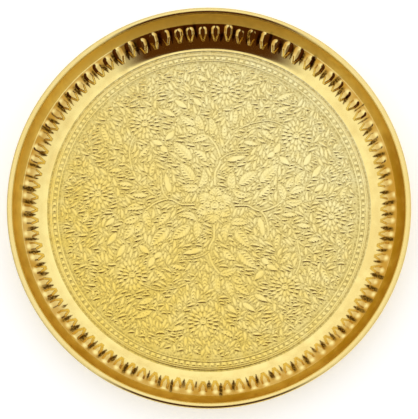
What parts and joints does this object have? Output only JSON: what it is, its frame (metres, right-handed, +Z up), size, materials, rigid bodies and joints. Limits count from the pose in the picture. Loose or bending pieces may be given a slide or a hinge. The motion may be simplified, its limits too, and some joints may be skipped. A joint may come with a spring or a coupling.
{
  "type": "thali plate",
  "caption": "Round brass thali plate with a flat embossed floor, a flared wall ringed with flutes, a steep lip and an edge rolled round a wire, for carrying and serving food or offerings.",
  "frame": {"origin": "middle of the flat underside, on the surface the plate rests on", "axes": "+Z up along the plate's axis; -Y towards the viewer, +X to the viewer's right"},
  "size_m": [0.254, 0.254, 0.022],
  "materials": {
    "dish_brass": "polished brass sheet with a satin embossed floor",
    "wire_brass": "drawn brass wire, dull"
  },
  "bodies": {
    "root": {"dish": "dish_brass", "rim_wire": "wire_brass"}
  },
  "joints": []
}
